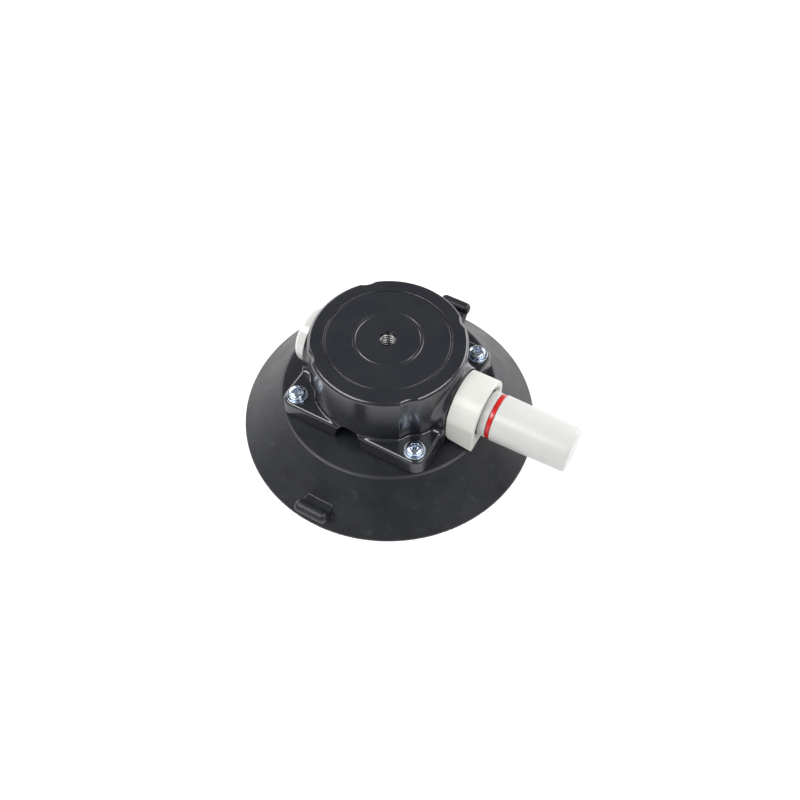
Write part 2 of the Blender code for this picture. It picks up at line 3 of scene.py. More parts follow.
import bpy
import numpy as np
from mathutils import Matrix, Vector


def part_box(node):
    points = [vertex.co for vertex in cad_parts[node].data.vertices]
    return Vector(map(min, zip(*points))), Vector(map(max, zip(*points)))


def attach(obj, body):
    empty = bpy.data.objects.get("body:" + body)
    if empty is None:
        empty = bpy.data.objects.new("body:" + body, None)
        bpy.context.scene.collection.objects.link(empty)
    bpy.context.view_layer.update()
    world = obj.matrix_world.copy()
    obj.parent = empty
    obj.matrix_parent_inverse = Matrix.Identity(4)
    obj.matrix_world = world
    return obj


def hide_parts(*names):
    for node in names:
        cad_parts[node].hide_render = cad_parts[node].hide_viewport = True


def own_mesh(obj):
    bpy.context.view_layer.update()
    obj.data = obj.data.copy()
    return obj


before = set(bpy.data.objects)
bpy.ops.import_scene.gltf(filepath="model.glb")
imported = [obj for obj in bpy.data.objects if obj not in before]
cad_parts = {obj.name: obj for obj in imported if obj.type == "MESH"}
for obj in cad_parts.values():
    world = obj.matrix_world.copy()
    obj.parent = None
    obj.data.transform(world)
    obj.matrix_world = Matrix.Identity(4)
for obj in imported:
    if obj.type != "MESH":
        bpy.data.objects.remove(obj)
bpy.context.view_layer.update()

MM = 0.001

# ------------------------------------------------------------------ sizes from the frame
CUP_LOW, CUP_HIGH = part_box("rubber_cup")
HOUSING_LOW, HOUSING_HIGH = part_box("housing")
CAP_LOW, CAP_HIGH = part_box("barrel_end_cap")
COLLAR_LOW, COLLAR_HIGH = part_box("pump_collar")
ROD_LOW, ROD_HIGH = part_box("plunger_rod")
BAND_LOW, BAND_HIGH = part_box("vacuum_loss_band")
GRIP_LOW, GRIP_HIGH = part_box("plunger_grip")
BUTTON_LOW, BUTTON_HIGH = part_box("plunger_button")
SPRING_LOW, SPRING_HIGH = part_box("return_spring")
SCREW_LOW, SCREW_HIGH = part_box("screw_2")
WASHER_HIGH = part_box("washer_2")[1]
FILTER_LOW, FILTER_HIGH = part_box("port_filter")


def radius_of(low, high):
    """Radius of a piece that is round about the pump's axis, from its box."""
    return (high.y - low.y) / 2


CUP_R = CUP_HIGH.x
HUB_Z = CUP_HIGH.z
TOP_Z = HOUSING_HIGH.z
AXIS_Z = (GRIP_LOW.z + GRIP_HIGH.z) / 2
SCREW_XY = (SCREW_LOW.x + SCREW_HIGH.x) / 2
SCREW_R = (SCREW_HIGH.x - SCREW_LOW.x) / 2
PORT_X = (FILTER_LOW.x + FILTER_HIGH.x) / 2

# ------------------------------------------------------------------ sizes of the details
HAIR = 0.03 * MM            # keeps the surfaces of touching pieces apart

HUB_R = 41.6 * MM
HUB_ROUND = 0.6 * MM
RIM_ROUND = 0.3 * MM
LIP_EDGE = 1.0 * MM
LIP_INNER_R = 54.8 * MM
LIP_ROUND = 0.2 * MM
SKIRT_SAG = 0.3 * MM
CEILING_R = 37.0 * MM       # the hollow's ceiling slopes outside this radius
CEILING_Z = 12.2 * MM
CEILING_ROUND = 3.0 * MM
CEILING_KNEE = (45.0 * MM, 8.6 * MM)               # radius and height
KNEE_ROUND = 6.0 * MM
PLATE_POCKET = (38.8 * MM, 13.9 * MM, 16.5 * MM)   # radius, bottom and top
PORT_R = 4.5 * MM

TAB_HALF = 6.6 * MM
WEB_HALF = 5.1 * MM       # half a web's width at the inner end of its top
WEB_SPREAD = 0.2          # growth of that half towards the bead
WEB_DRAFT = 0.25          # and its growth with depth
WEB_TOP = ((50.0 * MM, 7.55 * MM), (54.5 * MM, 7.85 * MM))   # y and height along a web's top
TAB_UNDER = 48.7 * MM     # y less height on a tab's underside, which slopes at 45 degrees
TAB_ROOT_Y = 48.6 * MM
BEAD_Y = 56.3 * MM
BEAD_Z = 8.5 * MM
BEAD_R = 2.45 * MM
BEAD_END_ROUND = 1.9 * MM
WEB_ROUND = 0.4 * MM
BEAD_FILLET = 0.5 * MM
TAB_FILLET = 0.25 * MM

EAR_Z = 24.35 * MM
EAR_HALF = HOUSING_HIGH.y
EAR_CORNER_R = 4.5 * MM
HEAD_R = 28.9 * MM
HEAD_BASE_R = 29.2 * MM
FLUTE_R = 6.8 * MM
TOP_ROUND = 1.6 * MM
EAR_ROUND = 1.1 * MM
EAR_DRAFT = 0.14
EAR_MIDDLE_Z = 22.0 * MM
EAR_FILLET = 0.9 * MM
FLUTE_ROUND = 0.7 * MM
CORE_INSET = (1.0 * MM, 2.0 * MM)        # of the solid core, from the wall and from the ears' top
CASTING_ROUND = 0.3 * MM
BOSS_R = 13.0 * MM
BOSS_X = HOUSING_HIGH.x
BOSS_ROUND = 0.5 * MM
BOSS_FILLET = 2.2 * MM
TUNNEL_R = 10.6 * MM
CAVITY_R = 25.8 * MM
CAVITY_Z = 41.0 * MM
CENTRE_BOSS = (6.0 * MM, 39.3 * MM)      # radius and lower end of the boss that holds the thread
VENT_R = 5.2 * MM
VENT_Z = 20.3 * MM
VENT_ROUND = 0.35 * MM
HOLE_R = 2.05 * MM          # screw holes and washers

DISC_R = 22.4 * MM
DISC_EDGE = 0.25 * MM
DISC_POCKET_R = 23.0 * MM
DISC_POCKET_ROUND = 0.2 * MM
DISC_DEPTH = 0.8 * MM
DISC_CLEARANCE = 0.1 * MM   # between disc and housing, under the disc and round its sleeve
DISC_ROUND = 0.1 * MM       # of its least edges
DISC_SLEEVE_R = 4.0 * MM
DISC_GAP_DEPTH = 0.3 * MM
DISC_GAP_SLOPE = 0.2 * MM
GROOVE_R = (11.5 * MM, 12.9 * MM)
GROOVE_DEPTH = 0.22 * MM
GROOVE_SLOPE = 0.4 * MM
GROOVE_ROUND = (0.5 * MM, 0.3 * MM)      # of its upper and its lower corners
THREAD_SLEEVE_R = 3.25 * MM
THREAD_MINOR_R = 2.55 * MM
THREAD_MAJOR_R = 3.175 * MM
THREAD_PITCH = 1.27 * MM
THREAD_SHADE_RADII = (2.60 * MM, 2.85 * MM)     # radii over which painted shade darkens its metal towards the thread's roots
TOOTH_SLOPE = 1.3
TOOTH_FLAT = 0.15           # flattens crests and roots
MOUTH_R = 3.1 * MM

COLLAR_R = 12.2 * MM
COLLAR_CHEEK = 12.05 * MM
COLLAR_MOUTH_R = 10.2 * MM
COLLAR_MOUTH_SLOPE = 1.3    # radius lost per unit of depth
COLLAR_MOUTH_ROUND = 0.15 * MM
COLLAR_BORE_R = 8.9 * MM
COLLAR_LIP = 1.6 * MM
COLLAR_CHEEK_ROUND = 0.05 * MM
COLLAR_FACE_ROUND = 0.45 * MM
COLLAR_BACK_ROUND = 2.2 * MM
COLLAR_FOOT = ((32.2 * MM, 19.9 * MM), (41.0 * MM, 18.5 * MM))   # its underside, x and height
COLLAR_FOOT_ROUND = 0.3 * MM

CAP_ROUND = 1.3 * MM
CAP_GAP = 0.3 * MM          # between the cap's flange and the housing
CAP_BACK_ROUND = 0.2 * MM
CAP_FOOT_ROUND = 0.3 * MM
SPIGOT_R = 8.75 * MM
SPIGOT_ROUND = 0.3 * MM
SPIGOT_ROOT = 1.0 * MM      # how far it reaches into the flange
O_RING_GROOVE = (-28.3 * MM, 0.8 * MM, 7.35 * MM)   # x, half its width, radius of its floor

ROD_R = 7.0 * MM
ROD_BORE_R = 5.2 * MM
ROD_ROUND = (0.2 * MM, 0.3 * MM)         # of its outer and its inner end's corners
NECK_X = 40.5 * MM
NECK_ROUND = (0.6 * MM, 0.25 * MM)       # of its inner end and of the end by the band
BAND_GAP = 0.15 * MM
BAND_BORE_R = 7.2 * MM
BAND_ROUND = 0.25 * MM
GRIP_GAP = 0.1 * MM
GRIP_END_R = 8.4 * MM
GRIP_ROUND = 0.35 * MM
GRIP_BORE_R = 7.3 * MM
GRIP_BORE_ROUND = (0.2 * MM, 0.1 * MM)   # at the band and at the button
BUTTON_ROUND = 0.8 * MM
BUTTON_TAPER = 0.1 * MM
BUTTON_GAP = 0.01 * MM
BUTTON_PLUG_R = 4.9 * MM
BUTTON_PLUG_ROUND = (0.1 * MM, 0.3 * MM)   # at its root and at its end

SPRING_WIRE_R = 0.45 * MM
SPRING_TURNS = 8
SPRING_END_RISE = 0.035     # share of its length that each end turn takes

HEAD_GAP = 0.1 * MM         # between a screw's head and its washer
SCREW_SEAT = WASHER_HIGH.z + HEAD_GAP
HEAD_HEIGHT = SCREW_HIGH.z - SCREW_SEAT
HEAD_DOME_R = 6.0 * MM
HEAD_EDGE = 0.5 * MM
SHANK_R = 1.75 * MM
SHANK_ROOT = 0.2 * MM       # how far it reaches into the head
SHANK_FILLET = 0.1 * MM
CROSS_REACH = 1.75 * MM
CROSS_SLOT = 0.52 * MM      # half the width of its arms
CROSS_DEPTH = 1.35 * MM
CROSS_TAPER = 0.5           # share of the reach lost at its bottom
SLOT_TAPER = 0.6            # share of that taper that the arms' width follows
CROSS_EDGE = 0.12 * MM
CROSS_FILLET = 0.5 * MM
SCREW_TURNS = (70, 80, 12, 57)           # degrees each cross is turned by, screw_1 to screw_4
WASHER_ROUND = 0.22 * MM
WASHER_SINK = 0.2 * MM      # how far each washer reaches into the ear under it


# ------------------------------------------------------------------ distance fields
def length(*parts):
    """Length of the vector that has these components."""
    total = parts[0] ** 2
    for part in parts[1:]:
        total = total + part ** 2
    return np.sqrt(total)


def join(a, b, r):
    """Union whose inner corner is a fillet of radius r."""
    return np.maximum(r, np.minimum(a, b)) - length(np.maximum(r - a, 0), np.maximum(r - b, 0))


def meet(a, b, r):
    """Intersection whose edge is rounded to radius r."""
    return np.minimum(-r, np.maximum(a, b)) + length(np.maximum(r + a, 0), np.maximum(r + b, 0))


def cut(a, b, r):
    """a without b, its edge rounded to radius r."""
    return meet(a, -b, r)


def line(u, v, start, end):
    """Signed distance to the line from start to end, positive on its left."""
    du, dv = end[0] - start[0], end[1] - start[1]
    return ((v - start[1]) * du - (u - start[0]) * dv) / np.hypot(du, dv)


def arch(across, z, middle_z, r):
    """Round top about a level axis, on straight sides that run down without end."""
    return np.where(z > middle_z, length(across, z - middle_z), abs(across)) - r


def rounded_square(x, y, half, corner):
    qx, qy = abs(x) - (half - corner), abs(y) - (half - corner)
    return length(np.maximum(qx, 0), np.maximum(qy, 0)) + np.minimum(np.maximum(qx, qy), 0) - corner


def from_screw(x, y):
    """Distance from the nearest screw's axis."""
    return length(abs(x) - SCREW_XY, abs(y) - SCREW_XY)


# ------------------------------------------------------------------ meshes
def corner_offsets():
    return [(i, j, k) for i in (0, 1) for j in (0, 1) for k in (0, 1)]


def net(field, low, step):
    """Vertices and quads on the zero surface of a sampled field.

    There is one vertex in each cell that the surface crosses.
    """
    inside = field < 0
    shape = np.array(field.shape) - 1
    counts = sum(inside[i:i + shape[0], j:j + shape[1], k:k + shape[2]].astype(np.int8)
                 for i, j, k in corner_offsets())
    active = (counts > 0) & (counts < 8)
    cells = np.argwhere(active)
    index = np.full(active.shape, -1, np.int64)
    index[active] = np.arange(len(cells))

    total = np.zeros((len(cells), 3))
    crossings = np.zeros(len(cells))
    for axis in range(3):
        along = np.eye(3, dtype=int)[axis]
        for offset in corner_offsets():
            if offset[axis]:
                continue
            start = cells + offset
            end = start + along
            a, b = field[tuple(start.T)], field[tuple(end.T)]
            crossed = (a < 0) != (b < 0)
            share = a[crossed] / (a[crossed] - b[crossed])
            total[crossed] += start[crossed] + share[:, None] * along
            crossings[crossed] += 1
    points = np.array(low) + step * total / crossings[:, None]

    quads = []
    for axis in range(3):
        along = np.eye(3, dtype=int)[axis]
        side_a, side_b = np.roll(along, 1), np.roll(along, 2)
        near = [slice(0, n - along[i]) for i, n in enumerate(inside.shape)]
        far = [slice(along[i], n) for i, n in enumerate(inside.shape)]
        first, second = inside[tuple(near)], inside[tuple(far)]
        for flip, edges in ((False, first & ~second), (True, ~first & second)):
            at = np.argwhere(edges)
            ring = [at - side_a - side_b, at - side_b, at, at - side_a]
            quad = np.stack([index[tuple(cell.T)] for cell in ring], axis=1)
            quads.append(quad[:, ::-1] if flip else quad)
    return points, np.concatenate(quads)


def gradient(shape, points, reach=0.02 * MM):
    slopes = []
    for axis in range(3):
        step = np.eye(3)[axis] * reach
        ahead, behind = points + step, points - step
        slopes.append((shape(*ahead.T) - shape(*behind.T)) / (2 * reach))
    return np.stack(slopes, axis=1)


def settle(shape, points, rounds=3, furthest=0.15 * MM):
    """Moves points onto the zero surface of a shape."""
    for _ in range(rounds):
        slope = gradient(shape, points)
        size = np.maximum((slope ** 2).sum(1), 0.25)
        move = slope * (shape(*points.T) / size)[:, None]
        far = np.maximum(np.linalg.norm(move, axis=1) / furthest, 1)
        points = points - move / far[:, None]
    return points


def mesh_from(name, points, faces):
    mesh = bpy.data.meshes.new(name)
    mesh.from_pydata(points.tolist(), [], faces.tolist())
    mesh.validate()
    return mesh


def add(name, mesh):
    obj = bpy.data.objects.new(name, mesh)
    bpy.context.scene.collection.objects.link(obj)
    return obj


def moulded(name, shape, low, high, step, keep):
    """A piece whose surface is the zero surface of a shape, thinned to a share of its faces."""
    margin = 3 * step
    low, high = np.array(low) - margin, np.array(high) + margin
    counts = np.ceil((high - low) / step).astype(int) + 1
    x, y, z = [low[i] + step * np.arange(counts[i]) for i in range(3)]
    field = shape(x[:, None, None], y[None, :, None], z[None, None, :])
    points, quads = net(np.broadcast_to(field, counts), low, step)
    points = settle(shape, points)
    obj = add(name, mesh_from(name, points, quads))
    thin = obj.modifiers.new("thin", "DECIMATE")
    thin.ratio = keep
    evaluated = obj.evaluated_get(bpy.context.evaluated_depsgraph_get())
    mesh = bpy.data.meshes.new_from_object(evaluated)
    obj.modifiers.clear()
    old, obj.data = obj.data, mesh
    bpy.data.meshes.remove(old)
    mesh.name = name
    points = np.array([v.co for v in mesh.vertices], float)
    points = settle(shape, points, rounds=2)
    mesh.vertices.foreach_set("co", points.astype(np.float32).ravel())
    normals = gradient(shape, points)
    normals /= np.maximum(np.linalg.norm(normals, axis=1), 1e-9)[:, None]
    mesh.shade_smooth()
    mesh.normals_split_custom_set_from_vertices(normals.tolist())
    mesh.update()
    return obj


def rounded_profile(points, closed=False):
    """Replaces each corner (radius, height, rounding) of a profile by an arc."""
    result = []
    count = len(points)
    for i, (r, h, size) in enumerate(points):
        here = Vector((r, h))
        if not size or (not closed and i in (0, count - 1)):
            result.append((r, h))
            continue
        back = (Vector(points[i - 1][:2]) - here).normalized()
        ahead = (Vector(points[(i + 1) % count][:2]) - here).normalized()
        half = back.angle(ahead) / 2
        centre = here + (back + ahead).normalized() * (size / sin(half))
        start = here + back * (size / tan(half)) - centre
        end = here + ahead * (size / tan(half)) - centre
        sweep = start.angle_signed(end)
        facets = max(2, round(abs(sweep) / radians(15)))
        for k in range(facets + 1):
            a = -sweep * k / facets
            turned_x = start.x * cos(a) - start.y * sin(a)
            turned_y = start.x * sin(a) + start.y * cos(a)
            result.append((centre.x + turned_x, centre.y + turned_y))
    return result


def lathe(name, profile, steps, along="Z", at=(0.0, 0.0, 0.0), closed=True):
    """Turns a profile, or a profile for each angle, about an axis. It runs down its outer side.

    A closed profile makes a ring; an open one starts and ends on the axis.
    """
    angles = [2 * pi * i / steps for i in range(steps)]
    rings = [np.array(profile(a) if callable(profile) else profile, float) for a in angles]
    count = len(rings[0])
    points = [(r * cos(a), r * sin(a), h) for a, rows in zip(angles, rings) for r, h in rows]
    faces = []
    for i in range(steps):
        j = (i + 1) % steps
        for k in range(count if closed else count - 1):
            n = (k + 1) % count
            quad = [i * count + k, i * count + n, j * count + n, j * count + k]
            if not closed and k == 0:
                quad[3] = quad[0] = 0
            if not closed and n == count - 1:
                quad[1] = quad[2] = count - 1
            faces.append(list(dict.fromkeys(quad)))
    mesh = bpy.data.meshes.new(name)
    mesh.from_pydata(points, [], faces)
    tidy(mesh)
    turn = Matrix.Rotation(pi / 2, 4, "Y") if along == "X" else Matrix()
    mesh.transform(Matrix.Translation(at) @ turn)
    return add(name, mesh)


def tidy(mesh, crease=radians(35)):
    """Drops loose vertices and shades the mesh smooth, apart from its creases."""
    used = np.zeros(len(mesh.vertices), bool)
    for polygon in mesh.polygons:
        used[list(polygon.vertices)] = True
    if not used.all():
        keep = np.cumsum(used) - 1
        points = [tuple(v.co) for v, u in zip(mesh.vertices, used) if u]
        faces = [[int(keep[v]) for v in p.vertices] for p in mesh.polygons]
        mesh.clear_geometry()
        mesh.from_pydata(points, [], faces)
    mesh.validate()
    mesh.shade_smooth()
    mesh.set_sharp_from_angle(angle=crease)


def ring(inner, outer, low, high, rounding):
    """Rounded profile of a ring."""
    corners = ((outer, high), (outer, low), (inner, low), (inner, high))
    return rounded_profile([(r, h, rounding) for r, h in corners], closed=True)


# ------------------------------------------------------------------ materials
class Finish:
    """A Principled material whose colour, roughness and bumps come from noise.

    The noise is laid out in the piece's own space.
    """

    def __init__(self, name, **inputs):
        self.material = bpy.data.materials.new(name)
        self.material.use_nodes = True
        self.tree = self.material.node_tree
        self.shader = self.tree.nodes["Principled BSDF"]
        self.place = self.node("ShaderNodeTexCoord").outputs["Object"]
        self.normal = None
        for key, value in inputs.items():
            self.shader.inputs[key.replace("_", " ")].default_value = value

    def node(self, kind, **settings):
        made = self.tree.nodes.new(kind)
        for key, value in settings.items():
            setattr(made, key, value)
        return made

    def noise(self, size, detail=3.0, stretch=None):
        """Noise from 0 to 1 whose features are about size across."""
        made = self.node("ShaderNodeTexNoise")
        made.inputs["Scale"].default_value = 1 / size
        made.inputs["Detail"].default_value = detail
        place = self.place
        if stretch:
            mapping = self.node("ShaderNodeMapping")
            mapping.inputs["Scale"].default_value = stretch
            self.tree.links.new(place, mapping.inputs["Vector"])
            place = mapping.outputs["Vector"]
        self.tree.links.new(place, made.inputs["Vector"])
        return made.outputs["Fac"]

    def radius(self):
        """Distance from the cup's axis."""
        flat = self.node("ShaderNodeVectorMath", operation="MULTIPLY")
        flat.inputs[1].default_value = (1.0, 1.0, 0.0)
        self.tree.links.new(self.place, flat.inputs[0])
        made = self.node("ShaderNodeVectorMath", operation="LENGTH")
        self.tree.links.new(flat.outputs["Vector"], made.inputs[0])
        return made.outputs["Value"]

    def span(self, value, low, high, to_low=0.0, to_high=1.0):
        made = self.node("ShaderNodeMapRange")
        self.tree.links.new(value, made.inputs["Value"])
        ends = {"From Min": low, "From Max": high, "To Min": to_low, "To Max": to_high}
        for key, number in ends.items():
            made.inputs[key].default_value = number
        return made.outputs["Result"]

    def mix(self, share, a, b):
        """a where share is 0, b where it is 1; each is a colour or a socket."""
        made = self.node("ShaderNodeMix", data_type="RGBA")
        self.tree.links.new(share, made.inputs["Factor"])
        for socket, value in ((made.inputs[6], a), (made.inputs[7], b)):
            if isinstance(value, tuple):
                socket.default_value = (*value, 1.0)
            else:
                self.tree.links.new(value, socket)
        return made.outputs[2]

    def bump(self, value, height):
        made = self.node("ShaderNodeBump")
        made.inputs["Distance"].default_value = height
        self.tree.links.new(value, made.inputs["Height"])
        if self.normal:
            self.tree.links.new(self.normal, made.inputs["Normal"])
        self.normal = made.outputs["Normal"]

    def done(self, colour, roughness):
        self.tree.links.new(colour, self.shader.inputs["Base Color"])
        self.tree.links.new(roughness, self.shader.inputs["Roughness"])
        if self.normal:
            self.tree.links.new(self.normal, self.shader.inputs["Normal"])
        return self.material


def cup_rubber():
    f = Finish("cup_rubber", Specular_IOR_Level=0.43)
    clouds = f.span(f.noise(14 * MM, 5.0), 0.35, 0.7)
    colour = f.mix(clouds, (0.0050, 0.0058, 0.0088), (0.0078, 0.0088, 0.0125))
    bloom = f.span(f.noise(5 * MM, 6.0, stretch=(1.0, 2.2, 1.0)), 0.58, 0.78)
    colour = f.mix(bloom, colour, (0.0170, 0.0190, 0.0245))
    specks = f.span(f.noise(0.7 * MM, 1.0), 0.78, 0.83)
    colour = f.mix(specks, colour, (0.07, 0.073, 0.08))
    f.bump(f.noise(0.25 * MM, 2.0), 0.012 * MM)
    f.bump(f.noise(6 * MM, 2.0), 0.05 * MM)
    return f.done(colour, f.span(f.noise(9 * MM, 4.0), 0.3, 0.7, 0.38, 0.50))


def black_enamel(name="black_enamel", roughness=(0.19, 0.25)):
    f = Finish(name, Specular_IOR_Level=0.7)
    tone = f.span(f.noise(10 * MM, 4.0), 0.35, 0.65)
    colour = f.mix(tone, (0.0095, 0.0105, 0.0145), (0.0125, 0.0135, 0.0175))
    specks = f.span(f.noise(0.8 * MM, 1.0), 0.77, 0.80)
    colour = f.mix(specks, colour, (0.06, 0.06, 0.065))
    f.bump(f.noise(1.6 * MM, 2.0), 0.006 * MM)
    f.bump(f.noise(0.22 * MM, 2.0), 0.0012 * MM)
    return f.done(colour, f.span(f.noise(7 * MM, 4.0), 0.3, 0.7, *roughness))


def zinc():
    f = Finish("zinc", Metallic=1.0)
    tint = f.span(f.noise(1.6 * MM, 3.0), 0.35, 0.65)
    colour = f.mix(tint, (0.42, 0.49, 0.60), (0.56, 0.60, 0.67))
    stain = f.span(f.noise(0.9 * MM, 4.0), 0.60, 0.75)
    colour = f.mix(stain, colour, (0.25, 0.34, 0.52))
    f.bump(f.noise(0.35 * MM, 3.0), 0.002 * MM)
    return f.done(colour, f.span(f.noise(0.8 * MM, 3.0), 0.3, 0.7, 0.12, 0.24))


def steel():
    f = Finish("steel", Metallic=1.0)
    colour = f.mix(f.noise(4 * MM, 3.0), (0.40, 0.41, 0.43), (0.56, 0.57, 0.58))
    f.bump(f.noise(0.3 * MM, 3.0), 0.004 * MM)
    return f.done(colour, f.span(f.noise(2 * MM, 3.0), 0.3, 0.7, 0.25, 0.42))


def cut_thread():
    """Bright thread crests over roots darkened with painted shade."""
    f = Finish("cut_thread", Metallic=1.0)
    crest = f.mix(f.noise(1.5 * MM, 3.0), (0.26, 0.255, 0.25), (0.42, 0.415, 0.41))
    # painted shade: the metal turns near black towards the thread's roots
    depth = f.span(f.radius(), *THREAD_SHADE_RADII)
    colour = f.mix(depth, crest, (0.012, 0.012, 0.013))
    f.bump(f.noise(0.3 * MM, 3.0), 0.003 * MM)
    return f.done(colour, f.span(f.noise(2 * MM, 3.0), 0.3, 0.7, 0.28, 0.40))


def white_plastic(name, pale, dull, roughness=(0.32, 0.44)):
    f = Finish(name, Specular_IOR_Level=0.5, Subsurface_Weight=0.08, Subsurface_Scale=0.6 * MM)
    colour = f.mix(f.span(f.noise(8 * MM, 4.0), 0.35, 0.7), pale, dull)
    grime = f.span(f.noise(1.2 * MM, 5.0), 0.70, 0.84)
    colour = f.mix(grime, colour, tuple(0.82 * c for c in dull))
    f.bump(f.noise(0.9 * MM, 3.0), 0.006 * MM)
    f.bump(f.noise(0.16 * MM, 2.0), 0.003 * MM)
    return f.done(colour, f.span(f.noise(5 * MM, 3.0), 0.3, 0.7, *roughness))


def red_band():
    f = Finish("red_plastic", Specular_IOR_Level=0.5)
    tone = f.span(f.noise(3 * MM, 4.0), 0.35, 0.65)
    colour = f.mix(tone, (0.50, 0.012, 0.012), (0.40, 0.010, 0.010))
    f.bump(f.noise(0.5 * MM, 3.0), 0.006 * MM)
    return f.done(colour, f.span(f.noise(2 * MM, 3.0), 0.3, 0.7, 0.16, 0.25))


def seal_rubber():
    f = Finish("seal_rubber")
    colour = f.mix(f.noise(3 * MM, 3.0), (0.018, 0.018, 0.019), (0.034, 0.034, 0.036))
    f.bump(f.noise(0.2 * MM, 3.0), 0.008 * MM)
    return f.done(colour, f.span(f.noise(2 * MM, 3.0), 0.3, 0.7, 0.45, 0.62))


def felt():
    f = Finish("felt", Sheen_Weight=0.3)
    colour = f.mix(f.noise(0.4 * MM, 5.0), (0.42, 0.41, 0.37), (0.62, 0.60, 0.55))
    f.bump(f.noise(0.12 * MM, 5.0), 0.05 * MM)
    return f.done(colour, f.span(f.noise(0.5 * MM, 3.0), 0.3, 0.7, 0.85, 0.98))


def floor_finish():
    f = Finish("pale_floor")
    colour = f.mix(f.noise(60 * MM, 3.0), (0.34, 0.34, 0.34), (0.36, 0.36, 0.36))
    f.shader.inputs["Emission Color"].default_value = (1.0, 1.0, 1.0, 1.0)
    f.shader.inputs["Emission Strength"].default_value = 0.86
    return f.done(colour, f.span(f.noise(20 * MM, 3.0), 0.3, 0.7, 0.75, 0.85))


RUBBER = cup_rubber()
ENAMEL = black_enamel()
MACHINED = black_enamel("black_enamel_disc", roughness=(0.20, 0.27))
ZINC = zinc()
STEEL = steel()
THREAD_METAL = cut_thread()
COLLAR_WHITE = white_plastic("pump_plastic", (0.555, 0.559, 0.526), (0.535, 0.539, 0.503))
CAP_WHITE = white_plastic("cap_plastic", (0.650, 0.654, 0.632), (0.630, 0.634, 0.610),
                          roughness=(0.12, 0.17))
PLUNGER_WHITE = white_plastic("plunger_plastic", (0.500, 0.502, 0.488), (0.482, 0.484, 0.470))
RED = red_band()
SEAL = seal_rubber()
FELT = felt()


def dress(obj, material, body, node):
    """Gives a piece its material and its body, and hides the node it replaces."""
    obj.data.materials.clear()
    obj.data.materials.append(material)
    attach(obj, body)
    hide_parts(node)


# ------------------------------------------------------------------ pieces
def cup_shape(x, y, z):
    rho = length(x, y)
    skirt = -line(rho, z, (CUP_R, LIP_EDGE), (HUB_R, HUB_Z - HUB_ROUND))
    along = np.clip((rho - HUB_R) / (CUP_R - HUB_R), 0, 1)
    skirt = skirt + SKIRT_SAG * 4 * along * (1 - along)
    body = meet(meet(skirt, z - HUB_Z, HUB_ROUND), rho - CUP_R, RIM_ROUND)

    flank = abs(x) - TAB_HALF
    out = abs(y)
    underside = (out - z - TAB_UNDER) / hypot(1, 1)
    ends = np.maximum(TAB_ROOT_Y - out, out - BEAD_Y)
    web = np.maximum(np.maximum(line(out, z, *WEB_TOP), underside), ends)
    inner, top = WEB_TOP[0]
    side = abs(x) - WEB_HALF - WEB_SPREAD * (out - inner) - WEB_DRAFT * (top - z)
    web = meet(web, side / hypot(1, WEB_SPREAD, WEB_DRAFT), WEB_ROUND)
    bead = meet(length(out - BEAD_Y, z - BEAD_Z) - BEAD_R, flank, BEAD_END_ROUND)
    body = join(body, join(web, bead, BEAD_FILLET), TAB_FILLET)

    outer_wall = line(rho, z, CEILING_KNEE, (LIP_INNER_R, 0.0))
    inner_wall = line(rho, z, (CEILING_R, CEILING_Z), CEILING_KNEE)
    hollow = meet(meet(outer_wall, inner_wall, KNEE_ROUND), z - CEILING_Z, CEILING_ROUND)
    body = meet(cut(body, hollow, LIP_ROUND), -z, LIP_ROUND)
    plate_r, plate_low, plate_high = PLATE_POCKET
    body = np.maximum(body, -np.maximum(rho - plate_r, np.maximum(z - plate_high, plate_low - z)))
    hole = np.maximum(from_screw(x, y) - HOLE_R, plate_low - z)
    port = length(x - PORT_X, y) - PORT_R
    return np.maximum(body, -np.minimum(hole, port))


def make_cup():
    cup = moulded("rubber_cup_skin", cup_shape, CUP_LOW, CUP_HIGH, step=0.42 * MM, keep=0.22)
    dress(cup, RUBBER, "cup", "rubber_cup")


def housing_shape(x, y, z):
    rho = length(x, y)
    wall = rho - (HEAD_R + (HEAD_BASE_R - HEAD_R) * (TOP_Z - z) / (TOP_Z - HOUSING_LOW.z))
    head = meet(wall, FLUTE_R - from_screw(x, y), FLUTE_ROUND)
    head = meet(head, z - TOP_Z, TOP_ROUND)
    spread = EAR_DRAFT * (EAR_MIDDLE_Z - z)
    base = rounded_square(x, y, EAR_HALF, EAR_CORNER_R) - spread
    base = meet(base, z - EAR_Z, EAR_ROUND)
    core = np.maximum(wall + CORE_INSET[0], z - EAR_Z + CORE_INSET[1])
    body = np.minimum(join(head, base, EAR_FILLET), core)
    boss = meet(arch(y, z, AXIS_Z, BOSS_R), abs(x) - BOSS_X, BOSS_ROUND)
    body = join(body, boss, BOSS_FILLET)
    body = meet(body, HOUSING_LOW.z - z, CASTING_ROUND)

    room = np.maximum(rho - CAVITY_R, z - CAVITY_Z)
    room = np.maximum(room, -np.maximum(rho - CENTRE_BOSS[0], CENTRE_BOSS[1] - z))
    body = cut(body, room, CASTING_ROUND)
    body = cut(body, arch(y, z, AXIS_Z, TUNNEL_R), CASTING_ROUND)
    body = cut(body, arch(x, z, VENT_Z, VENT_R), VENT_ROUND)
    pocket = np.maximum(rho - DISC_POCKET_R, TOP_Z - DISC_DEPTH - z)
    body = cut(body, pocket, DISC_POCKET_ROUND)
    bore = rho - DISC_SLEEVE_R - DISC_CLEARANCE
    return np.maximum(body, -np.minimum(bore, from_screw(x, y) - HOLE_R))


def make_housing():
    housing = moulded("housing_casting", housing_shape, HOUSING_LOW, HOUSING_HIGH,
                      step=0.33 * MM, keep=0.32)
    dress(housing, ENAMEL, "cup", "housing")


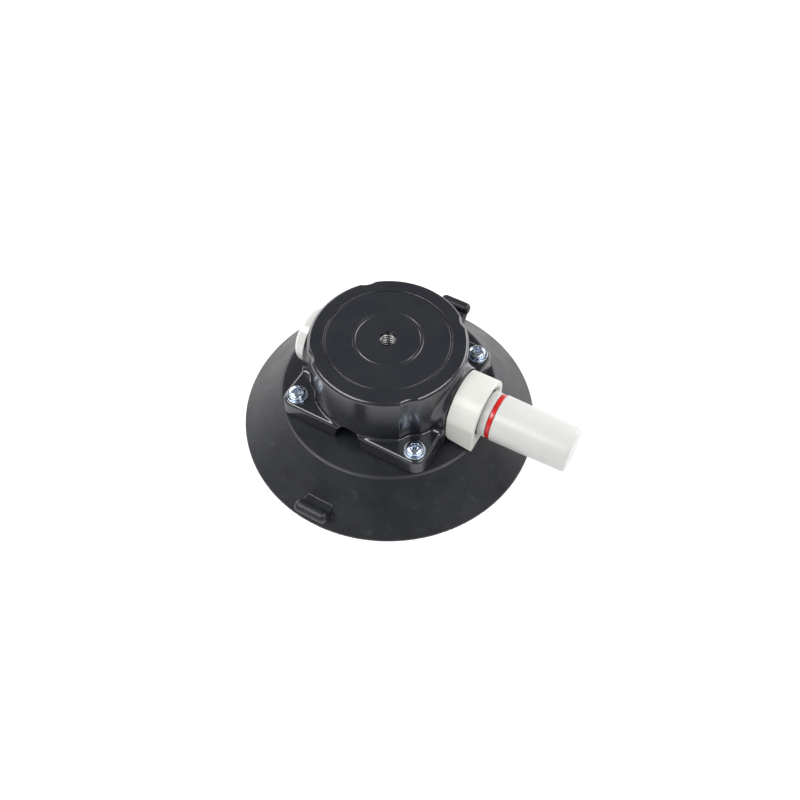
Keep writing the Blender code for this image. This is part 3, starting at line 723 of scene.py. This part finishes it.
def disc_profile():
    """Top face with its ring groove; it ends at the bare metal of the tapped hole."""
    bottom = CENTRE_BOSS[1]
    edge = DISC_POCKET_R - HAIR
    inner, outer = GROOVE_R
    upper, lower = GROOVE_ROUND
    floor = TOP_Z - GROOVE_DEPTH
    gap = TOP_Z - DISC_GAP_DEPTH
    seat = TOP_Z - DISC_DEPTH + DISC_CLEARANCE
    return rounded_profile([
        (THREAD_SLEEVE_R, bottom, 0.0), (THREAD_SLEEVE_R, TOP_Z, DISC_ROUND), (inner, TOP_Z, upper),
        (inner + GROOVE_SLOPE, floor, lower), (outer - GROOVE_SLOPE, floor, lower),
        (outer, TOP_Z, upper), (DISC_R, TOP_Z, DISC_EDGE),
        (DISC_R + DISC_GAP_SLOPE, gap, DISC_ROUND), (edge, gap, 0.0), (edge, seat, DISC_ROUND),
        (DISC_SLEEVE_R, seat, 0.0), (DISC_SLEEVE_R, bottom, 0.0),
    ], closed=True)


def thread_profile(angle):
    """Wall of the tapped hole: a right-handed thread under a countersunk mouth."""
    bottom, top = CENTRE_BOSS[1], TOP_Z - HAIR
    outside = THREAD_SLEEVE_R - HAIR
    rows = 80
    wall = [(outside, top), (outside, bottom)]
    for i in range(rows + 1):
        z = bottom + (top - bottom) * i / rows
        turn = (z / THREAD_PITCH - angle / (2 * pi)) % 1.0
        tooth = min(max(abs(2 * turn - 1) * TOOTH_SLOPE - TOOTH_FLAT, 0.0), 1.0)
        r = THREAD_MINOR_R + (THREAD_MAJOR_R - THREAD_MINOR_R) * tooth
        wall.append((max(r, MOUTH_R - (top - z)), z))
    return wall


def make_top_disc():
    disc = lathe("housing_top_disc", disc_profile(), steps=160)
    dress(disc, MACHINED, "cup", "housing")
    thread = lathe("housing_thread", thread_profile, steps=96)
    dress(thread, THREAD_METAL, "cup", "housing")


def screw_shape(x, y, z):
    """Pan head with a Phillips recess, about its own centre, its underside at 0."""
    rho = length(x, y)
    dome = length(rho, z - HEAD_HEIGHT + HEAD_DOME_R) - HEAD_DOME_R
    head = meet(meet(dome, rho - SCREW_R, HEAD_EDGE), -z, HEAD_EDGE)
    shank = np.maximum(np.maximum(rho - SHANK_R, z - SHANK_ROOT), SCREW_LOW.z - SCREW_SEAT - z)
    taper = 1 - CROSS_TAPER * (HEAD_HEIGHT - z) / CROSS_DEPTH
    reach = CROSS_REACH * taper
    slot = CROSS_SLOT * (1 - SLOT_TAPER + SLOT_TAPER * taper)
    bar_x = np.maximum(abs(x) - reach, abs(y) - slot)
    bar_y = np.maximum(abs(y) - reach, abs(x) - slot)
    cross = np.maximum(join(bar_x, bar_y, CROSS_FILLET), HEAD_HEIGHT - CROSS_DEPTH - z)
    return join(cut(head, cross, CROSS_EDGE), shank, SHANK_FILLET)


def make_screws():
    low, high = (-SCREW_R, -SCREW_R, SCREW_LOW.z - SCREW_SEAT), (SCREW_R, SCREW_R, HEAD_HEIGHT)
    first = moulded("screw_head_1", screw_shape, low, high, step=0.09 * MM, keep=0.35)
    pattern = first.data
    for number, turn in enumerate(SCREW_TURNS, 1):
        node_low, node_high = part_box(f"screw_{number}")
        middle = (node_low + node_high) / 2
        mesh = pattern.copy()
        place = Matrix.Translation((middle.x, middle.y, SCREW_SEAT))
        mesh.transform(place @ Matrix.Rotation(radians(turn), 4, "Z"))
        screw = first if number == 1 else add(f"screw_head_{number}", mesh)
        screw.data = mesh
        dress(screw, ZINC, "cup", f"screw_{number}")
        washer_low, washer_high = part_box(f"washer_{number}")
        outer = (washer_high.x - washer_low.x) / 2
        profile = ring(HOLE_R, outer, washer_low.z - WASHER_SINK, washer_high.z, WASHER_ROUND)
        washer = lathe(f"washer_ring_{number}", profile, steps=64, at=(middle.x, middle.y, 0.0))
        dress(washer, ZINC, "cup", f"washer_{number}")
    bpy.data.meshes.remove(pattern)


def collar_shape(x, y, z):
    outline = meet(arch(y, z, AXIS_Z, COLLAR_R), abs(y) - COLLAR_CHEEK, COLLAR_CHEEK_ROUND)
    body = meet(outline, x - COLLAR_HIGH.x, COLLAR_FACE_ROUND)
    foot = meet(-line(x, z, *COLLAR_FOOT), COLLAR_LOW.x - x, COLLAR_BACK_ROUND)
    body = meet(body, foot, COLLAR_FOOT_ROUND)
    axial = length(y, z - AXIS_Z)
    mouth = axial - COLLAR_MOUTH_R + COLLAR_MOUTH_SLOPE * (COLLAR_HIGH.x - x)
    mouth = mouth / hypot(1, COLLAR_MOUTH_SLOPE)
    barrel = np.maximum(axial - TUNNEL_R, x - COLLAR_HIGH.x + COLLAR_LIP)
    room = np.minimum(np.minimum(mouth, axial - COLLAR_BORE_R), barrel)
    return cut(body, room, COLLAR_MOUTH_ROUND)


def make_collar():
    collar = moulded("pump_collar_moulding", collar_shape, COLLAR_LOW, COLLAR_HIGH,
                     step=0.22 * MM, keep=0.35)
    dress(collar, COLLAR_WHITE, "cup", "pump_collar")


def cap_shape(x, y, z):
    flange_r = radius_of(CAP_LOW, CAP_HIGH)
    flange_x = -BOSS_X - CAP_GAP
    axial = length(y, z - AXIS_Z)
    flange = meet(axial - flange_r, CAP_LOW.x - x, CAP_ROUND)
    flange = meet(flange, x - flange_x, CAP_BACK_ROUND)
    flange = meet(flange, CAP_LOW.z - z, CAP_FOOT_ROUND)
    groove_x, groove_half, groove_r = O_RING_GROOVE
    groove = np.maximum(abs(x - groove_x) - groove_half, groove_r - axial)
    spigot = meet(axial - SPIGOT_R, x - CAP_HIGH.x, SPIGOT_ROUND)
    spigot = np.maximum(np.maximum(spigot, flange_x - SPIGOT_ROOT - x), -groove)
    return np.minimum(flange, spigot)


def make_end_cap():
    cap = moulded("end_cap_moulding", cap_shape, CAP_LOW, CAP_HIGH, step=0.25 * MM, keep=0.35)
    dress(cap, CAP_WHITE, "cup", "barrel_end_cap")


def turned(name, profile, material, node, closed=True):
    """Gives the plunger a piece that is turned about the pump's axis."""
    obj = lathe(name, profile, steps=96, along="X", at=(0.0, 0.0, AXIS_Z), closed=closed)
    dress(obj, material, "plunger", node)


def make_rod():
    neck_r = radius_of(ROD_LOW, ROD_HIGH)
    neck_end = BAND_LOW.x - BAND_GAP
    outer, inner = ROD_ROUND
    profile = rounded_profile([
        (ROD_R, ROD_HIGH.x, outer), (ROD_R, neck_end, 0.0), (neck_r, neck_end, NECK_ROUND[1]),
        (neck_r, NECK_X, NECK_ROUND[0]), (ROD_R, NECK_X, 0.0), (ROD_R, ROD_LOW.x, inner),
        (ROD_BORE_R, ROD_LOW.x, inner), (ROD_BORE_R, ROD_HIGH.x, outer),
    ], closed=True)
    turned("plunger_rod_moulding", profile, PLUNGER_WHITE, "plunger_rod")


def make_band():
    profile = ring(BAND_BORE_R, radius_of(BAND_LOW, BAND_HIGH), BAND_LOW.x, BAND_HIGH.x, BAND_ROUND)
    turned("loss_band_ring", profile, RED, "vacuum_loss_band")


def make_grip():
    start = BAND_HIGH.x + GRIP_GAP
    near, far = GRIP_BORE_ROUND
    profile = rounded_profile([
        (GRIP_END_R, GRIP_HIGH.x, 0.0), (radius_of(GRIP_LOW, GRIP_HIGH), start, GRIP_ROUND),
        (GRIP_BORE_R, start, near), (GRIP_BORE_R, GRIP_HIGH.x, far),
    ], closed=True)
    turned("plunger_grip_moulding", profile, PLUNGER_WHITE, "plunger_grip")


def make_button():
    """Flange flush with the grip's end, on a plug that goes into the rod."""
    flange_r = GRIP_END_R - HAIR
    flange_x = GRIP_HIGH.x + BUTTON_GAP
    root, end = BUTTON_PLUG_ROUND
    profile = rounded_profile([
        (0.0, BUTTON_HIGH.x, 0.0), (flange_r - BUTTON_TAPER, BUTTON_HIGH.x, BUTTON_ROUND),
        (flange_r, flange_x, 0.0), (BUTTON_PLUG_R, flange_x, root),
        (BUTTON_PLUG_R, BUTTON_LOW.x, end), (0.0, BUTTON_LOW.x, 0.0),
    ])
    turned("plunger_button_moulding", profile, PLUNGER_WHITE, "plunger_button",
           closed=False)


def make_spring():
    """Return spring whose end turns lie closer together than the others."""
    radius = radius_of(SPRING_LOW, SPRING_HIGH) - SPRING_WIRE_R
    low, high = SPRING_LOW.x + SPRING_WIRE_R, SPRING_HIGH.x - SPRING_WIRE_R
    per_turn, around = 40, 12
    count = SPRING_TURNS * per_turn
    end_turn = 1 / SPRING_TURNS
    rise = np.interp(np.arange(count + 1) / count, [0, end_turn, 1 - end_turn, 1],
                     [0, SPRING_END_RISE, 1 - SPRING_END_RISE, 1])
    points = []
    for i, share in enumerate(rise):
        a = 2 * pi * i / per_turn
        centre = Vector((low + (high - low) * share, radius * cos(a), AXIS_Z + radius * sin(a)))
        out = Vector((0.0, cos(a), sin(a)))
        for k in range(around):
            b = 2 * pi * k / around
            around_wire = cos(b) * out + sin(b) * Vector((1.0, 0.0, 0.0))
            points.append(centre + SPRING_WIRE_R * around_wire)
    faces = []
    for i in range(count):
        for k in range(around):
            n = (k + 1) % around
            here, ahead = i * around, (i + 1) * around
            faces.append([here + k, ahead + k, ahead + n, here + n])
    faces.append(list(range(around)))
    faces.append([count * around + k for k in reversed(range(around))])
    mesh = bpy.data.meshes.new("return_spring_coil")
    mesh.from_pydata(points, [], faces)
    tidy(mesh)
    spring = add("return_spring_coil", mesh)
    dress(spring, STEEL, "cup", "return_spring")
    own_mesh(spring)


def dress_cad_nodes():
    """Pieces that stay as the CAD made them get their materials."""
    finishes = {
        STEEL: ("pad_plate", "stop_ring"),
        COLLAR_WHITE: ("pump_barrel", "valve_retainer"),
        PLUNGER_WHITE: ("piston_head",),
        SEAL: ("cap_o_ring", "wiper_ring", "piston_seal", "check_valve"),
        FELT: ("wear_ring", "port_filter"),
    }
    for material, names in finishes.items():
        for name in names:
            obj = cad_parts[name]
            obj.data.materials.clear()
            obj.data.materials.append(material)


# ------------------------------------------------------------------ stage
FLOOR_HALF = 1.2
FLOOR_Z = -0.05 * MM


def make_floor():
    mesh = bpy.data.meshes.new("floor")
    half, z = FLOOR_HALF, FLOOR_Z
    corners = [(-half, -half, z), (half, -half, z), (half, half, z), (-half, half, z)]
    mesh.from_pydata(corners, [], [(0, 1, 2, 3)])
    mesh.materials.append(floor_finish())
    add("floor", mesh)


def softbox(name, azimuth, elevation, distance, size, power):
    """Area light that faces the object; azimuth 0 is at -Y and it grows towards +X."""
    light = bpy.data.lights.new(name, "AREA")
    light.shape = "RECTANGLE"
    light.size, light.size_y = size
    light.energy = power
    a, e = radians(azimuth), radians(elevation)
    away = Vector((sin(a) * cos(e), -cos(a) * cos(e), sin(e)))
    obj = bpy.data.objects.new(name, light)
    bpy.context.scene.collection.objects.link(obj)
    obj.location = away * distance + Vector((0.0, 0.0, AXIS_Z))
    obj.rotation_euler = away.to_track_quat("Z", "Y").to_euler()


WORLD_STRENGTH = 0.24


def make_lights():
    world = bpy.data.worlds.new("studio")
    world.use_nodes = True
    background = world.node_tree.nodes["Background"]
    background.inputs["Color"].default_value = (1.0, 1.0, 1.0, 1.0)
    background.inputs["Strength"].default_value = WORLD_STRENGTH
    bpy.context.scene.world = world
    softbox("left_box", -42, 52, distance=0.9, size=(0.85, 0.30), power=8.0)
    softbox("right_box", 92, 52, distance=0.9, size=(0.75, 0.30), power=5.7)
    softbox("back_left_panel", -110, 16, distance=1.1, size=(0.9, 0.5), power=6.4)
    softbox("back_right_panel", 152, 16, distance=1.1, size=(0.9, 0.5), power=8.5)


CAMERA_AZIMUTH = 29.8
CAMERA_ELEVATION = 54.71
CAMERA_ROLL = -0.47
CAMERA_DISTANCE = 349.7 * MM
CAMERA_OFFSET = (4.10 * MM, 4.57 * MM)   # the aim is this far right of the origin and above it
CAMERA_LENS = 39.465                     # focal length in mm
CAMERA_SENSOR = 36.0                     # sensor width in mm


def make_camera():
    data = bpy.data.cameras.new("camera")
    data.sensor_width = CAMERA_SENSOR
    data.lens = CAMERA_LENS
    data.clip_start = 0.01
    camera = bpy.data.objects.new("camera", data)
    bpy.context.scene.collection.objects.link(camera)
    turn = Matrix.Rotation(radians(CAMERA_AZIMUTH), 4, "Z")
    turn = turn @ Matrix.Rotation(radians(90 - CAMERA_ELEVATION), 4, "X")
    turn = turn @ Matrix.Rotation(radians(CAMERA_ROLL), 4, "Z")
    unrolled = turn @ Matrix.Rotation(radians(-CAMERA_ROLL), 4, "Z")
    back = unrolled @ Vector((0.0, 0.0, CAMERA_DISTANCE))
    aside = turn @ Vector((*CAMERA_OFFSET, 0.0))
    camera.matrix_world = Matrix.Translation(back + aside) @ turn
    bpy.context.scene.camera = camera


make_camera()
make_floor()
make_lights()
make_cup()
make_housing()
make_top_disc()
make_screws()
make_collar()
make_end_cap()
make_rod()
make_band()
make_grip()
make_button()
make_spring()
dress_cad_nodes()
bpy.context.scene.view_settings.view_transform = "Standard"
